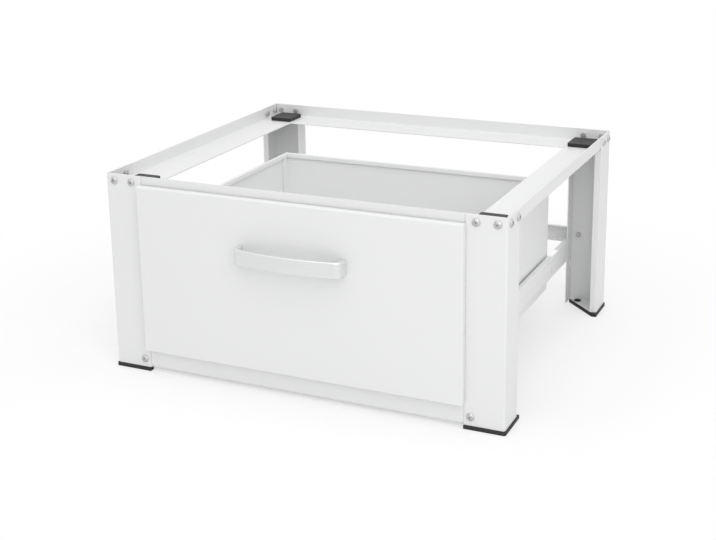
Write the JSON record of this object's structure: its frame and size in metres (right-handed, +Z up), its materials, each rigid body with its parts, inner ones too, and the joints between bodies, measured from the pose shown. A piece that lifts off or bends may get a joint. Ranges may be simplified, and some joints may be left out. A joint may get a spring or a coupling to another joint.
{
  "type": "washer pedestal drawer",
  "caption": "Pedestal for a washing machine: a bolted frame of folded steel with a rimmed tray on top, and a storage drawer on roller runners beneath it.",
  "frame": {"origin": "on the floor, under the centre of the whole part's bounding box", "axes": "+X to the right seen from the front, +Y to the rear, +Z up"},
  "size_m": [0.6366, 0.585, 0.31],
  "materials": {
    "white_paint": "white powder coat, semi-gloss",
    "grey_paint": "pale grey paint, semi-gloss",
    "satin_metal": "satin",
    "zinc": "zinc plated",
    "black_rubber": "matte moulded rubber",
    "white_nylon": "natural nylon"
  },
  "bodies": {
    "frame": {"leg_front_left": "white_paint", "leg_front_right": "white_paint", "leg_rear_left": "white_paint", "leg_rear_right": "white_paint", "foot_front_left": "black_rubber", "foot_front_right": "black_rubber", "foot_rear_left": "black_rubber", "foot_rear_right": "black_rubber", "tray_rail_front": "white_paint", "tray_rail_rear": "white_paint", "tray_rail_left": "white_paint", "tray_rail_right": "white_paint", "tray_pad_front_left": "black_rubber", "tray_pad_front_right": "black_rubber", "tray_pad_rear_left": "black_rubber", "tray_pad_rear_right": "black_rubber", "crossbar_front": "white_paint", "crossbar_rear": "white_paint", "face_bolt_front_left_1": "zinc", "face_bolt_front_left_2": "zinc", "face_bolt_front_right_1": "zinc", "face_bolt_front_right_2": "zinc", "face_bolt_rear_left_1": "zinc", "face_bolt_rear_left_2": "zinc", "face_bolt_rear_right_1": "zinc", "face_bolt_rear_right_2": "zinc", "side_bolt_front_left_1": "zinc", "side_bolt_front_left_2": "zinc", "side_bolt_front_right_1": "zinc", "side_bolt_front_right_2": "zinc", "side_bolt_rear_left_1": "zinc", "side_bolt_rear_left_2": "zinc", "side_bolt_rear_right_1": "zinc", "side_bolt_rear_right_2": "zinc", "crossbar_front_bolt_left": "zinc", "crossbar_front_bolt_right": "zinc", "crossbar_rear_bolt_left": "zinc", "crossbar_rear_bolt_right": "zinc", "runner_left": "grey_paint", "runner_right": "grey_paint", "front_roller_pin_left": "zinc", "front_roller_pin_right": "zinc"},
    "drawer": {"drawer_side_left": "white_paint", "drawer_side_right": "white_paint", "drawer_inner_front": "white_paint", "drawer_back": "white_paint", "drawer_floor": "white_paint", "drawer_front": "white_paint", "drawer_handle": "satin_metal", "handle_screw_left": "zinc", "handle_screw_right": "zinc", "drawer_rail_left": "grey_paint", "drawer_rail_right": "grey_paint", "rear_roller_pin_left": "zinc", "rear_roller_pin_right": "zinc"},
    "front_wheel_left": {"front_roller_left": "white_nylon"},
    "front_wheel_right": {"front_roller_right": "white_nylon"},
    "rear_wheel_left": {"rear_roller_left": "white_nylon"},
    "rear_wheel_right": {"rear_roller_right": "white_nylon"}
  },
  "joints": [
    {"name": "drawer_slide", "type": "slide", "parent": "frame", "child": "drawer", "axis": [0, -1, 0], "range_m": [0, 0.34]},
    {"name": "front_roller_spin_left", "type": "hinge", "parent": "frame", "child": "front_wheel_left", "pos_m": [-0.2492, -0.21455, 0.093], "axis": [1, 0, 0], "continuous": true},
    {"name": "front_roller_spin_right", "type": "hinge", "parent": "frame", "child": "front_wheel_right", "pos_m": [0.2492, -0.21455, 0.093], "axis": [1, 0, 0], "continuous": true},
    {"name": "rear_roller_spin_left", "type": "hinge", "parent": "drawer", "child": "rear_wheel_left", "pos_m": [-0.2468, 0.19745, 0.0915], "axis": [1, 0, 0], "continuous": true},
    {"name": "rear_roller_spin_right", "type": "hinge", "parent": "drawer", "child": "rear_wheel_right", "pos_m": [0.2468, 0.19745, 0.0915], "axis": [1, 0, 0], "continuous": true}
  ],
  "couplings": [
    {"joint": "front_roller_spin_left", "follows": "drawer_slide", "rad_per_m": 100},
    {"joint": "front_roller_spin_right", "follows": "drawer_slide", "rad_per_m": 100},
    {"joint": "rear_roller_spin_left", "follows": "drawer_slide", "rad_per_m": 95.238},
    {"joint": "rear_roller_spin_right", "follows": "drawer_slide", "rad_per_m": 95.238}
  ]
}
